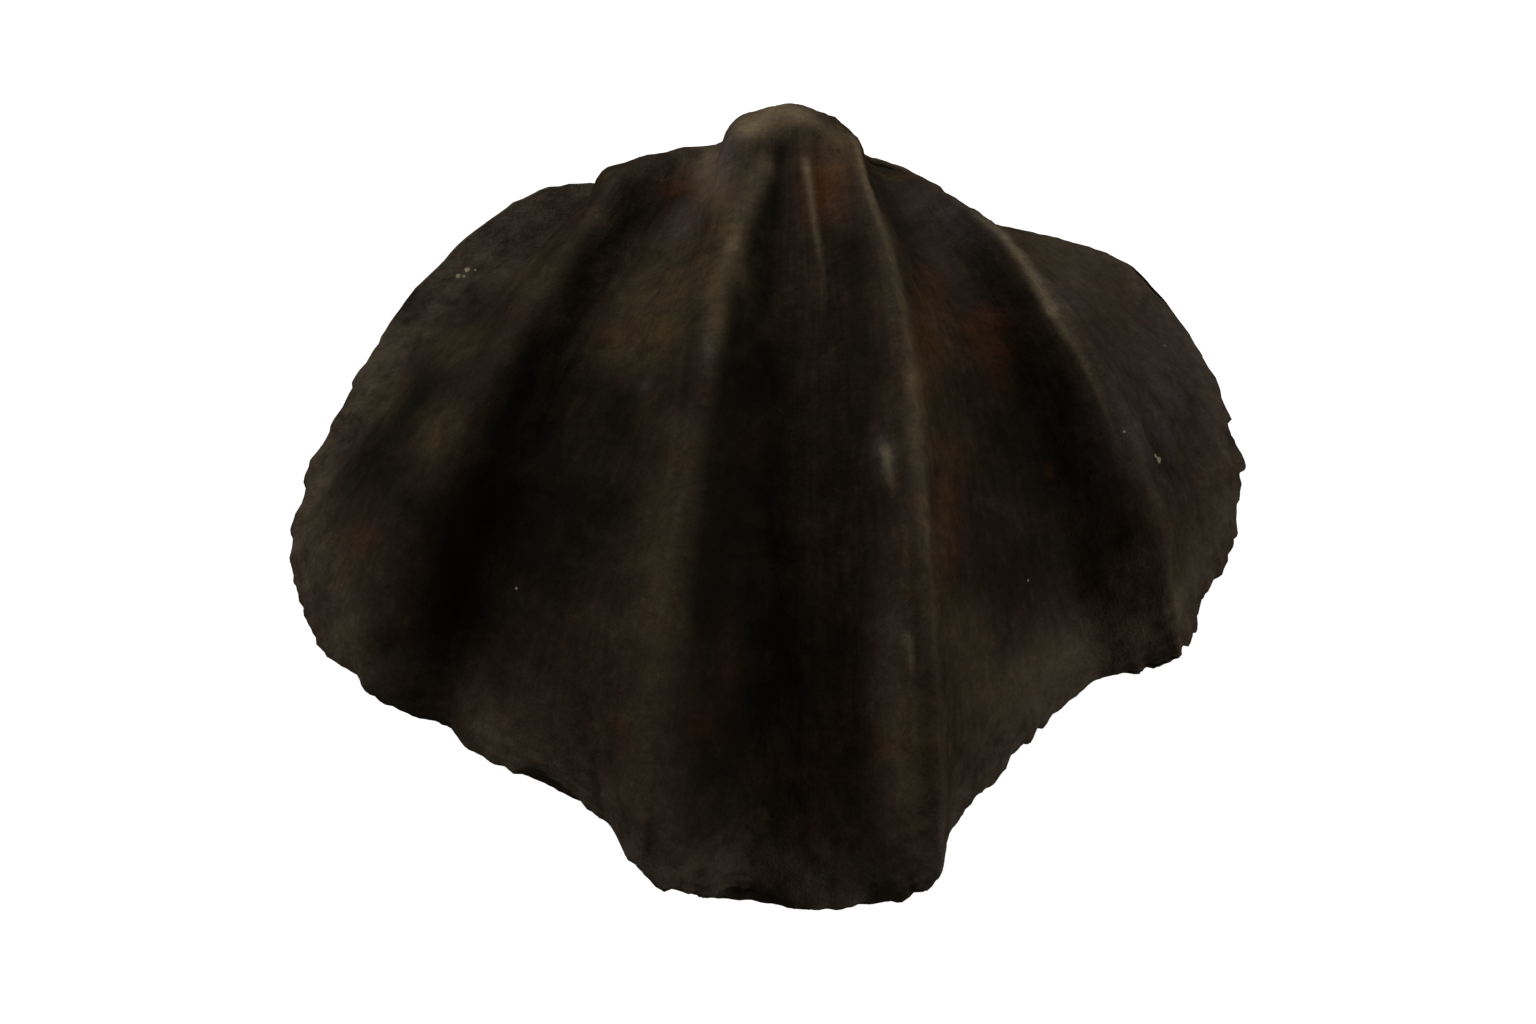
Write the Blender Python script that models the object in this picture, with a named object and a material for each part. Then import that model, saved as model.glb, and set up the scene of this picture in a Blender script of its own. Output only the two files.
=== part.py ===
"""A brachiopod fossil: two strongly folded valves closed and filled solid, one natural piece.

The shell lies on its lower (brachial) valve with the hinge and the beak towards +Y.
Both valves grow from the same margin: each ring between margin and beak is the margin
outline scaled down and turned about the hinge line, and the ribs ride on top of it.
Sizes are in millimetres and turned into metres at the end.
"""
import math

import bmesh
import bpy
from mathutils import Vector

SHELL_WIDTH = 36.0      # across the two wings
RINGS_PER_VALVE = 24
STEPS_PER_POINT = 2     # mesh columns for each point of the margin
REST_CUT = 0.7          # how much of the lowest fold is worn flat
FORAMEN_HALF = 2.6      # half width of the triangular opening, at the hinge line
FORAMEN_DEPTH = 0.7
EVEN_LEFT = (-8.0, -5.0)    # margin points between which the evening of the hinge side sets in
EVEN_RIGHT = (12.0, 9.0)
EVEN_PASSES = 50
BEAK_AXIS = 0.3         # the beak sits a little right of the middle of the hinge
RIGHT_DROP = 2.2        # the flanks of the beak fall away more steeply on the right
LEFT_DROP = 1.2
TABLE_WIDTH = 35.8      # width that the tables below were measured at

# Margin seen from above, clockwise from the middle of the hinge:
# x, y, rise of the margin, rise of the same rib on the beak.
MARGIN = [
    (0.0, 0.1, 0.0, 0.0),       # hinge line
    (1.8, 0.0, 0.0, 0.0),
    (3.8, -0.1, 0.0, 0.0),
    (6.0, -0.3, 0.0, 0.0),
    (8.2, -0.7, 0.0, 0.0),
    (10.3, -1.1, 0.1, 0.0),
    (12.1, -1.7, 0.2, 0.0),
    (13.6, -3.2, 0.3, 0.0),     # right shoulder
    (15.0, -5.2, 0.1, 0.0),
    (16.0, -7.3, -0.1, 0.0),
    (16.7, -9.5, -0.2, 0.0),
    (16.9, -11.5, -0.1, 0.0),   # right wing
    (16.6, -13.6, -0.3, 0.0),
    (15.9, -15.6, 0.0, 0.0),
    (15.2, -17.3, 0.4, 0.0),
    (14.6, -19.2, 1.0, 0.2),    # right outer ridge
    (13.2, -19.6, -0.3, 0.1),
    (11.6, -19.6, -1.3, -0.3),  # right valley
    (10.2, -20.5, -1.3, -0.8),
    (9.1, -22.1, -1.0, -0.9),
    (8.0, -23.5, -0.7, -0.5),
    (6.9, -25.2, -0.2, -0.1),
    (5.9, -26.8, 0.4, 0.1),
    (5.5, -28.8, 1.0, 0.1),     # right inner ridge
    (3.9, -29.0, -1.2, 0.0),
    (2.2, -28.7, -1.9, 0.1),
    (0.4, -28.7, -2.1, 0.2),    # middle of the sulcus
    (-1.4, -28.3, -2.2, 0.0),
    (-3.4, -28.7, -1.4, 0.0),
    (-5.4, -29.2, 0.8, 0.0),    # left inner ridge
    (-6.3, -27.7, 0.6, 0.2),
    (-7.4, -26.0, 0.2, 0.1),
    (-9.0, -24.7, -0.3, -0.4),
    (-10.8, -23.6, -0.8, -0.7),
    (-12.3, -22.3, -1.3, -0.3),  # left valley
    (-14.0, -21.4, -0.9, 0.1),
    (-16.0, -21.1, 0.8, 0.4),   # left outer ridge
    (-17.3, -19.2, 0.4, 0.6),
    (-18.4, -17.3, -0.1, 0.7),
    (-18.8, -15.3, -0.3, 0.7),
    (-18.8, -13.3, -0.2, 0.7),  # left wing
    (-18.1, -10.7, 0.3, 0.8),
    (-17.0, -8.3, 0.5, 0.8),
    (-15.7, -5.7, 0.4, 0.8),
    (-14.0, -3.2, 0.8, 0.8),
    (-11.5, -0.6, 1.1, 0.8),    # left shoulder
    (-8.5, 1.0, 1.0, 0.6),
    (-4.4, 0.7, 0.5, 0.3),
]

# Rings from margin to beak, evenly spaced rows: turn about the hinge in degrees,
# length, width, shift x, y, z, rib height, beak share, flank drop, corner share, beak rib height.
UPPER_VALVE = [
    (0.0, 1.000, 1.000, 0.00, 0.00, 0.00, 1.00, 0.00, 0.0, 1.00, 0.0),
    (5.8, 0.965, 0.975, 0.05, 0.00, 0.10, 0.98, 0.00, 0.0, 0.90, 0.0),
    (12.0, 0.900, 0.930, 0.12, 0.05, 0.20, 0.92, 0.00, 0.0, 0.75, 0.0),
    (20.5, 0.790, 0.850, 0.30, 0.10, 0.40, 0.83, 0.00, 0.0, 0.60, 0.0),
    (30.0, 0.660, 0.750, 0.42, 0.15, 0.60, 0.72, 0.00, 0.0, 0.45, 0.1),
    (40.5, 0.545, 0.640, 0.50, 0.20, 0.85, 0.60, 0.00, 0.1, 0.35, 0.3),
    (53.5, 0.430, 0.525, 0.52, 0.30, 1.10, 0.46, 0.05, 0.4, 0.25, 0.7),
    (70.0, 0.325, 0.415, 0.40, 0.45, 1.40, 0.28, 0.25, 1.0, 0.15, 1.0),
    (89.0, 0.225, 0.330, 0.25, 0.65, 1.70, 0.10, 0.60, 1.3, 0.00, 0.9),
    (109.0, 0.115, 0.210, 0.20, 0.85, 2.00, 0.00, 0.90, 0.8, 0.00, 0.5),
    (128.0, 0.065, 0.130, 0.10, 0.95, 2.20, 0.00, 1.00, 0.3, 0.00, 0.1),
    (145.0, 0.030, 0.060, 0.05, 1.05, 2.40, 0.00, 1.00, 0.1, 0.00, 0.0),
    (155.0, 0.000, 0.000, 0.05, 1.10, 2.50, 0.00, 1.00, 0.0, 0.00, 0.0),
]
LOWER_VALVE = [
    (0.0, 1.000, 1.000, 0.0, 0.00, 0.00, 1.00, 0.0, 0.0, 1.00, 0.0),
    (4.5, 0.965, 0.975, 0.0, -0.02, -0.06, 0.92, 0.0, 0.0, 0.85, 0.0),
    (9.0, 0.900, 0.930, 0.0, -0.04, -0.14, 0.78, 0.0, 0.0, 0.65, 0.0),
    (15.0, 0.790, 0.850, 0.0, -0.06, -0.25, 0.56, 0.0, 0.0, 0.40, 0.0),
    (22.5, 0.660, 0.740, 0.0, -0.10, -0.38, 0.32, 0.0, 0.0, 0.20, 0.0),
    (31.5, 0.535, 0.625, 0.0, -0.14, -0.50, 0.14, 0.0, 0.0, 0.08, 0.0),
    (43.0, 0.410, 0.500, 0.0, -0.18, -0.62, 0.05, 0.1, 0.0, 0.00, 0.0),
    (58.0, 0.300, 0.380, 0.0, -0.24, -0.74, 0.03, 0.3, 0.0, 0.00, 0.0),
    (76.0, 0.205, 0.270, 0.0, -0.32, -0.86, 0.02, 0.6, 0.0, 0.00, 0.0),
    (96.0, 0.125, 0.170, 0.0, -0.42, -0.98, 0.01, 1.0, 0.0, 0.00, 0.0),
    (114.0, 0.055, 0.075, 0.0, -0.50, -1.08, 0.00, 1.0, 0.0, 0.00, 0.0),
    (124.0, 0.000, 0.000, 0.0, -0.55, -1.15, 0.00, 1.0, 0.0, 0.00, 0.0),
]


def clear_scene():
    for thing in list(bpy.data.objects):
        bpy.data.objects.remove(thing, do_unlink=True)


def blend(p0, p1, p2, p3, f):
    """Catmull-Rom blend of four rows."""
    return [
        0.5 * (2 * b + (c - a) * f + (2 * a - 5 * b + 4 * c - d) * f ** 2
               + (3 * b - a - 3 * c + d) * f ** 3)
        for a, b, c, d in zip(p0, p1, p2, p3)
    ]


def round_curve(points, t):
    """Value of a closed curve through the points, at t points along it."""
    i = math.floor(t)
    rows = [points[(i + k) % len(points)] for k in (-1, 0, 1, 2)]
    return blend(*rows, t - i)


def row_curve(rows, x):
    """Value of an open curve through the rows, at x rows along it."""
    first = [2 * a - b for a, b in zip(rows[0], rows[1])]
    last = [2 * a - b for a, b in zip(rows[-1], rows[-2])]
    wide = [first] + list(rows) + [last]
    i = min(max(math.floor(x), 0), len(rows) - 2)
    return blend(*wide[i:i + 4], x - i)


def smooth_step(a, b, x):
    t = min(max((x - a) / (b - a), 0.0), 1.0)
    return t * t * (3.0 - 2.0 * t)


def softened(points, passes):
    """The margin with its corners worn away, for the young rings and the rib direction."""
    rows = [list(p) for p in points]
    count = len(rows)
    for _ in range(passes):
        rows = [
            [(a + 2 * b + c) / 4 for a, b, c in zip(rows[i - 1], rows[i], rows[(i + 1) % count])]
            for i in range(count)
        ]
    return rows


SOFT_MARGIN = softened(MARGIN, 12)


def ring_point(cx, cy, row, side):
    """A margin point carried up the valve to one ring."""
    turn, length, width, shift_x, shift_y, shift_z, _, beak, drop, _, _ = row
    turn = math.radians(turn)
    at_hinge = smooth_step(-6.0, 0.0, cy)
    share = at_hinge + (1.0 - at_hinge) * beak
    along = length * cy
    x = width * cx + shift_x * (smooth_step(0.0, -8.0, cy) * (1.0 - beak) + beak)
    y = share * shift_y + along * math.cos(turn)
    z = share * shift_z - side * along * math.sin(turn)
    flank = smooth_step(2.5, 12.0, abs(cx - BEAK_AXIS)) * smooth_step(-1.0, -9.0, cy)
    z -= side * drop * flank * (RIGHT_DROP if cx > 0 else LEFT_DROP)
    return Vector((x, y, z))


def soft_point(t, x, rows, side):
    cx, cy = round_curve(SOFT_MARGIN, t)[:2]
    return ring_point(cx, cy, row_curve(rows, x), side)


def outward(t, x, rows, side):
    """Direction that a rib rises in: square to the soft surface, upright at the margin."""
    step = 0.25
    low = max(x - step, 0.0)
    high = min(x + step, len(rows) - 1.4)
    across = soft_point(t + step, x, rows, side) - soft_point(t - step, x, rows, side)
    along = soft_point(t, high, rows, side) - soft_point(t, low, rows, side)
    normal = along.cross(across)
    if normal.length < 1e-9:
        return Vector((0.0, 0.0, 1.0))
    normal.normalize()
    upright = smooth_step(4.0, 0.0, x)
    mixed = normal * (1.0 - upright) + Vector((0.0, 0.0, 1.0)) * upright
    return mixed.normalized()


def shell_point(t, x, rows, side):
    """Point of a valve: t along the margin, x rows from margin to beak."""
    row = row_curve(rows, x)
    sharp = round_curve(MARGIN, t)
    soft = round_curve(SOFT_MARGIN, t)
    corner = row[9]
    cx = corner * sharp[0] + (1.0 - corner) * soft[0]
    cy = corner * sharp[1] + (1.0 - corner) * soft[1]
    point = ring_point(cx, cy, row, side)
    rise = row[6] * sharp[2] + row[10] * sharp[3]
    rise *= 1.0 - smooth_step(-8.0, -4.5, soft[1]) * smooth_step(5.0, 8.0, x)
    return point + outward(t, x, rows, side) * rise


def even_out(points, columns):
    """Even out the crowded points behind the beak; the margin and the beak stay where they are."""
    pulls = []
    for ring in range(RINGS_PER_VALVE + 1):
        share = smooth_step(0.15, 0.5, ring / RINGS_PER_VALVE) * 0.5
        row = []
        for column in range(columns):
            behind = (column / STEPS_PER_POINT + 24) % 48 - 24
            row.append(share * smooth_step(*EVEN_LEFT, behind) * smooth_step(*EVEN_RIGHT, behind))
        pulls.append(row)
    for _ in range(EVEN_PASSES):
        before = [row[:] for row in points]
        for ring in range(1, RINGS_PER_VALVE):
            for column in range(columns):
                pull = pulls[ring][column]
                if pull > 0.0:
                    around = (before[ring - 1][column] + before[ring + 1][column]
                              + before[ring][column - 1] + before[ring][(column + 1) % columns]) / 4
                    points[ring][column] = before[ring][column].lerp(around, pull)
    return points


def valve(rows, side, columns):
    """Rings of points of one valve, from margin to beak, with the opening under the beak."""
    points = even_out([
        [shell_point(column / STEPS_PER_POINT, ring / RINGS_PER_VALVE * (len(rows) - 1), rows, side)
         for column in range(columns)]
        for ring in range(RINGS_PER_VALVE + 1)
    ], columns)
    if side > 0:
        for ring, row in enumerate(points):
            x = ring / RINGS_PER_VALVE * (len(rows) - 1)
            height = smooth_step(0.0, 1.5, x) * smooth_step(12.0, 10.0, x)
            for column, point in enumerate(row):
                cx, cy = round_curve(MARGIN, column / STEPS_PER_POINT)[:2]
                point.y -= FORAMEN_DEPTH * height * max(0.0, 1.0 - abs(cx) / FORAMEN_HALF) * smooth_step(-3.0, -1.0, cy)
    return points


def build_shell():
    columns = len(MARGIN) * STEPS_PER_POINT
    upper = valve(UPPER_VALVE, 1, columns)
    lower = valve(LOWER_VALVE, -1, columns)
    bpy.ops.mesh.primitive_uv_sphere_add(segments=columns, ring_count=2 * RINGS_PER_VALVE, radius=1.0)
    shell = bpy.context.active_object
    scale = SHELL_WIDTH / TABLE_WIDTH
    for vertex in shell.data.vertices:
        x, y, z = vertex.co
        turn = (math.pi / 2 - math.atan2(y, x)) % (2 * math.pi)
        column = round(turn / (2 * math.pi) * columns) % columns
        ring = round(math.asin(min(1.0, abs(z))) / (math.pi / 2) * RINGS_PER_VALVE)
        vertex.co = (upper if z > -1e-6 else lower)[ring][column] * scale
    return shell


def seat_shell(shell):
    """Wear the lowest fold flat, then put the middle of the bounding box's floor at the origin."""
    points = [v.co for v in shell.data.vertices]
    floor = min(p.z for p in points) + REST_CUT
    for p in points:
        p.z = max(p.z, floor)
    middle_x = (min(p.x for p in points) + max(p.x for p in points)) / 2
    middle_y = (min(p.y for p in points) + max(p.y for p in points)) / 2
    for p in points:
        p -= Vector((middle_x, middle_y, floor))
        p *= 0.001


def triangulate(shell):
    mesh = bmesh.new()
    mesh.from_mesh(shell.data)
    bmesh.ops.triangulate(mesh, faces=mesh.faces[:], quad_method="SHORT_EDGE")
    mesh.to_mesh(shell.data)
    mesh.free()


def stone(name, colour, roughness):
    material = bpy.data.materials.new(name)
    material.use_nodes = True
    node = material.node_tree.nodes["Principled BSDF"]
    node.inputs["Base Color"].default_value = (*colour, 1.0)
    node.inputs["Roughness"].default_value = roughness
    return material


def place(thing, name, material):
    """Give the object its name, its material and its own collection."""
    thing.name = name
    thing.data.name = name
    thing.data.materials.clear()
    thing.data.materials.append(material)
    group = bpy.data.collections.new(name)
    bpy.context.scene.collection.children.link(group)
    for other in list(thing.users_collection):
        other.objects.unlink(thing)
    group.objects.link(thing)


def main():
    clear_scene()
    shell = build_shell()
    seat_shell(shell)
    triangulate(shell)
    place(shell, "brachiopod_fossil", stone("dark_fossil_stone", (0.030, 0.024, 0.018), 0.6))


main()
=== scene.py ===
"""Brachiopod fossil: a coarsely ribbed, closed seashell turned to dark stone.

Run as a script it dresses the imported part: it builds the fine shell, its stained calcite,
the table it lies on, the lamps and the camera.
"""
import math

import bpy
import numpy as np
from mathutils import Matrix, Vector, noise


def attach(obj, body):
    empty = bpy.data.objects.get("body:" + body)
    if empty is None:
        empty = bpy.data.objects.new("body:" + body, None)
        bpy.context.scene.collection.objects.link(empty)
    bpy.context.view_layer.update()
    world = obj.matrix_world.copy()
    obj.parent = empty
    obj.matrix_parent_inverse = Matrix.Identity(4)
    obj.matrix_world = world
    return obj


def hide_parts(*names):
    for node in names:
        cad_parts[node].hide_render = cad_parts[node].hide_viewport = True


bl_info = {
    "name": "Brachiopod Fossil",
    "version": (1, 0, 0),
    "blender": (4, 5, 0),
    "location": "3D View > Sidebar > Fossil",
    "description": "Builds a coarsely ribbed brachiopod fossil on a pale table",
    "category": "Add Mesh",
}

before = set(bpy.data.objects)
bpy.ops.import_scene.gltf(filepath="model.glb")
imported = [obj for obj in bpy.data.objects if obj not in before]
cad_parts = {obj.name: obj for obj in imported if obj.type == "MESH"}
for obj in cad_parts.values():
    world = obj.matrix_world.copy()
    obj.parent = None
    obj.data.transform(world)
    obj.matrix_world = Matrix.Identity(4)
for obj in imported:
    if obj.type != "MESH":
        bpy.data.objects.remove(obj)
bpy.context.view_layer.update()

# ---------------------------------------------------------------- growth of the shell, in mm

TABLE_WIDTH = 35.8      # width across the wings that the tables were measured at
SEATED_WIDTH = 36.0     # width across the wings that the seat is given for
SEAT = (-0.9899, -13.6224, -7.5893)     # middle and floor of the seated shell
EYE_LEVEL = 8.382       # height that the camera aims at
BEAK_AXIS = 0.3         # where the beak stands between the wings
RIGHT_DROP = 2.2        # how much of a row's flank drop each flank takes
LEFT_DROP = 1.2
FORAMEN_HALF = 2.6      # half width and depth of the opening under the beak
FORAMEN_DEPTH = 0.7
SOFT_PASSES = 12        # smoothing that turns the margin into the soft line between the ribs

# The crowded folds on the hinge side are evened out on a coarse grid. Each pair is the margin
# point where that starts and the one from which it is whole.
COARSE_RINGS = 25
COARSE_COLUMNS = 2      # a margin point
EVEN_LEFT = (-8.0, -5.0)
EVEN_RIGHT = (12.0, 9.0)
EVEN_PULL = 0.5
EVEN_PASSES = 50
POCKET_LEFT = (-8.5, -5.5)      # the fold behind the left shoulder, on the upper valve alone
POCKET_RIGHT = (0.0, -1.5)
POCKET_PULL = 0.9
POCKET_PASSES = 200

# Wear and fine relief.
WEAR_RADIUS = 0.7       # how far crests and furrows are worn round on the left of the beak
WEAR_PASSES = 80
MARGIN_BAND = 12        # rings on each side of the margin that its fullness and way are read from
MARGIN_PASSES = 20
BEVEL_DEPTH = 0.12      # rounding of the margin's edge
BEVEL_REACH = 0.2
INSET_DEPTH = 0.36      # step of the lower valve below the margin: depth, place and half width
INSET_PLACE = 1.5
INSET_REACH = 1.1
GRIT = 0.05             # height of the finest lumps
UPPER_BREAK = 0.8       # how far up and down from the margin its breaks reach
LOWER_BREAK = 2.2
FIBRE_TURN = 34.0       # size of the fan of calcite fibres round the beak, in noise cells
FIBRE_RUN = 0.35        # noise cells a mm along a fibre
THREAD = 0.11           # from one growth thread to the next
PORE_SPACING = 0.45
BUMP_HEIGHT = 0.00004   # in metres

# Margin seen from above, clockwise from the middle of the hinge:
# x, y, rise of the margin, rise of the same rib on the beak.
MARGIN = [
    (0.0, 0.1, 0.0, 0.0),       # hinge line
    (1.8, 0.0, 0.0, 0.0),
    (3.8, -0.1, 0.0, 0.0),
    (6.0, -0.3, 0.0, 0.0),
    (8.2, -0.7, 0.0, 0.0),
    (10.3, -1.1, 0.1, 0.0),
    (12.1, -1.7, 0.2, 0.0),
    (13.6, -3.2, 0.3, 0.0),     # right shoulder
    (15.0, -5.2, 0.1, 0.0),
    (16.0, -7.3, -0.1, 0.0),
    (16.7, -9.5, -0.2, 0.0),
    (16.9, -11.5, -0.1, 0.0),   # right wing
    (16.6, -13.6, -0.3, 0.0),
    (15.9, -15.6, 0.0, 0.0),
    (15.2, -17.3, 0.4, 0.0),
    (14.6, -19.2, 1.0, 0.2),    # right outer ridge
    (13.2, -19.6, -0.3, 0.1),
    (11.6, -19.6, -1.3, -0.3),  # right valley
    (10.2, -20.5, -1.3, -0.8),
    (9.1, -22.1, -1.0, -0.9),
    (8.0, -23.5, -0.7, -0.5),
    (6.9, -25.2, -0.2, -0.1),
    (5.9, -26.8, 0.4, 0.1),
    (5.5, -28.8, 1.0, 0.1),     # right inner ridge
    (3.9, -29.0, -1.2, 0.0),
    (2.2, -28.7, -1.9, 0.1),
    (0.4, -28.7, -2.1, 0.2),    # middle of the sulcus
    (-1.4, -28.3, -2.2, 0.0),
    (-3.4, -28.7, -1.4, 0.0),
    (-5.4, -29.2, 0.8, 0.0),    # left inner ridge
    (-6.3, -27.7, 0.6, 0.2),
    (-7.4, -26.0, 0.2, 0.1),
    (-9.0, -24.7, -0.3, -0.4),
    (-10.8, -23.6, -0.8, -0.7),
    (-12.3, -22.3, -1.3, -0.3),     # left valley
    (-14.0, -21.4, -0.9, 0.1),
    (-16.0, -21.1, 0.8, 0.4),   # left outer ridge
    (-17.3, -19.2, 0.4, 0.6),
    (-18.4, -17.3, -0.1, 0.7),
    (-18.8, -15.3, -0.3, 0.7),
    (-18.8, -13.3, -0.2, 0.7),  # left wing
    (-18.1, -10.7, 0.3, 0.8),
    (-17.0, -8.3, 0.5, 0.8),
    (-15.7, -5.7, 0.4, 0.8),
    (-14.0, -3.2, 0.8, 0.8),
    (-11.5, -0.6, 1.1, 0.8),    # left shoulder
    (-8.5, 1.0, 1.0, 0.6),
    (-4.4, 0.7, 0.5, 0.3),
]

# Rings from margin to beak, evenly spaced rows: turn about the hinge in degrees,
# length, width, shift x, y, z, rib height, beak share, flank drop, corner share, beak rib height.
UPPER_VALVE = [
    (0.0, 1.000, 1.000, 0.00, 0.00, 0.00, 1.00, 0.00, 0.0, 1.00, 0.0),
    (5.8, 0.965, 0.975, 0.05, 0.00, 0.10, 0.98, 0.00, 0.0, 0.90, 0.0),
    (12.0, 0.900, 0.930, 0.12, 0.05, 0.20, 0.92, 0.00, 0.0, 0.75, 0.0),
    (20.5, 0.790, 0.850, 0.30, 0.10, 0.40, 0.83, 0.00, 0.0, 0.60, 0.0),
    (30.0, 0.660, 0.750, 0.42, 0.15, 0.60, 0.72, 0.00, 0.0, 0.45, 0.1),
    (40.5, 0.545, 0.640, 0.50, 0.20, 0.85, 0.60, 0.00, 0.1, 0.35, 0.3),
    (53.5, 0.430, 0.525, 0.52, 0.30, 1.10, 0.46, 0.05, 0.4, 0.25, 0.7),
    (70.0, 0.325, 0.415, 0.40, 0.45, 1.40, 0.28, 0.25, 1.0, 0.15, 1.0),
    (89.0, 0.225, 0.330, 0.25, 0.65, 1.70, 0.10, 0.60, 1.3, 0.00, 0.9),
    (109.0, 0.115, 0.210, 0.20, 0.85, 2.00, 0.00, 0.90, 0.8, 0.00, 0.5),
    (128.0, 0.065, 0.130, 0.10, 0.95, 2.20, 0.00, 1.00, 0.3, 0.00, 0.1),
    (145.0, 0.030, 0.060, 0.05, 1.05, 2.40, 0.00, 1.00, 0.1, 0.00, 0.0),
    (155.0, 0.000, 0.000, 0.05, 1.10, 2.50, 0.00, 1.00, 0.0, 0.00, 0.0),
]
LOWER_VALVE = [
    (0.0, 1.000, 1.000, 0.0, 0.00, 0.00, 1.00, 0.0, 0.0, 1.00, 0.0),
    (4.5, 0.965, 0.975, 0.0, -0.02, -0.06, 0.92, 0.0, 0.0, 0.85, 0.0),
    (9.0, 0.900, 0.930, 0.0, -0.04, -0.14, 0.78, 0.0, 0.0, 0.65, 0.0),
    (15.0, 0.790, 0.850, 0.0, -0.06, -0.25, 0.56, 0.0, 0.0, 0.40, 0.0),
    (22.5, 0.660, 0.740, 0.0, -0.10, -0.38, 0.32, 0.0, 0.0, 0.20, 0.0),
    (31.5, 0.535, 0.625, 0.0, -0.14, -0.50, 0.14, 0.0, 0.0, 0.08, 0.0),
    (43.0, 0.410, 0.500, 0.0, -0.18, -0.62, 0.05, 0.1, 0.0, 0.00, 0.0),
    (58.0, 0.300, 0.380, 0.0, -0.24, -0.74, 0.03, 0.3, 0.0, 0.00, 0.0),
    (76.0, 0.205, 0.270, 0.0, -0.32, -0.86, 0.02, 0.6, 0.0, 0.00, 0.0),
    (96.0, 0.125, 0.170, 0.0, -0.42, -0.98, 0.01, 1.0, 0.0, 0.00, 0.0),
    (114.0, 0.055, 0.075, 0.0, -0.50, -1.08, 0.00, 1.0, 0.0, 0.00, 0.0),
    (124.0, 0.000, 0.000, 0.0, -0.55, -1.15, 0.00, 1.0, 0.0, 0.00, 0.0),
]

COLUMNS_PER_POINT = 9
UPPER_RINGS = 146
LOWER_RINGS = 82

# Stains and worn places of the upper valve, among them painted light and painted sheen, seen from
# the front edge 60 degrees above the table: across and up in mm from the middle, half width and half
# height in mm, turn in degrees, strength.
# Ochre stains, partly painted light where the beak's top and the lit slopes catch the lamps.
OCHRE_STAIN_AND_LIGHT = [
    (-1.3, 10.6, 0.45, 1.7, 14, 0.8), (-2.0, 8.2, 0.4, 1.6, 8, 0.7),
    (-3.7, 8.6, 1.9, 1.8, 20, 0.42), (-5.0, 6.5, 1.5, 0.9, 20, 0.5),
    (-8.6, 9.0, 0.8, 0.6, 30, 0.35), (-11.6, 6.5, 1.1, 0.6, 35, 0.45),
    (-12.4, 3.2, 0.7, 1.3, -25, 0.5), (-14.2, 4.6, 0.5, 1.0, -30, 0.4),
    (2.5, 12.9, 0.6, 1.0, 4, 0.5), (6.1, 6.4, 0.6, 3.0, -6, 0.3), (6.6, 0.6, 0.6, 3.4, -4, 0.2),
    (-4.0, -2.6, 1.2, 4.4, 8, 0.2), (0.5, 15.2, 1.2, 0.5, 0, 0.8), (3.0, 14.0, 0.9, 0.8, 0, 0.5),
    (-15.6, -5.2, 1.4, 0.9, -40, 0.3), (-6.0, -3.0, 1.8, 2.4, 0, 0.12),
    (14.6, -5.6, 1.6, 0.5, 30, 0.3), (-6.0, 9.6, 0.7, 0.5, 40, 0.3),
    (10.2, 11.3, 0.9, 0.4, -30, 0.4),
]
RUST = [
    (2.2, 12.3, 0.8, 1.2, -5, 1.0), (8.4, 7.2, 0.9, 0.9, 0, 0.8), (8.7, 5.4, 0.7, 1.2, 0, 0.35),
    (6.0, 7.0, 0.7, 2.6, -8, 0.5), (6.8, 0.0, 0.6, 3.0, -4, 0.35), (-1.35, -5.2, 0.5, 1.8, 3, 0.28),
    (-2.6, -7.8, 0.5, 0.6, 0, 0.5), (4.6, -8.6, 0.9, 0.4, -8, 0.6), (-3.2, 12.4, 0.9, 0.6, 30, 0.6),
    (-5.8, 6.9, 0.5, 0.4, 0, 0.4), (10.7, 1.8, 0.18, 0.22, 0, 0.9), (-0.7, 2.6, 0.5, 0.5, 0, 0.3),
    (14.6, -3.5, 0.5, 0.9, 0, 0.3), (-15.4, -0.8, 0.7, 0.7, 0, 0.3),
    (-11.0, -7.2, 1.8, 0.5, -15, 0.3), (1.0, -9.6, 1.6, 0.4, 0, 0.3),
]
# Slate-grey patches, partly the stone's own violet-grey and partly painted sheen.
SLATE_GREY_AND_SHEEN = [
    (-9.8, 11.0, 1.6, 0.6, 28, 0.4), (-12.5, 8.6, 0.9, 0.7, 40, 0.3),
    (14.6, 4.6, 2.2, 4.2, -25, 0.55), (-5.6, -12.9, 1.4, 0.8, -20, 0.4),
    (-1.6, 13.6, 0.5, 1.3, -20, 0.9), (-3.2, 11.2, 0.6, 1.0, -20, 0.4),
    (4.6, -4.6, 0.5, 3.0, 0, 0.25), (4.4, 2.4, 0.45, 0.9, 12, 0.6), (-2.2, 6.6, 0.25, 0.7, 0, 0.8),
    (14.0, -5.2, 1.8, 0.4, 18, 0.4), (1.8, -13.2, 2.8, 0.6, 0, 0.25),
    (-17.0, -2.6, 0.7, 1.8, 10, 0.3), (6.6, 11.6, 1.2, 1.2, -30, 0.7),
    (11.6, 8.6, 0.9, 1.2, -30, 0.5), (7.9, 10.6, 1.0, 0.8, 0, 0.3), (-4.6, 5.0, 0.3, 0.3, 0, 0.4),
]
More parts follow.
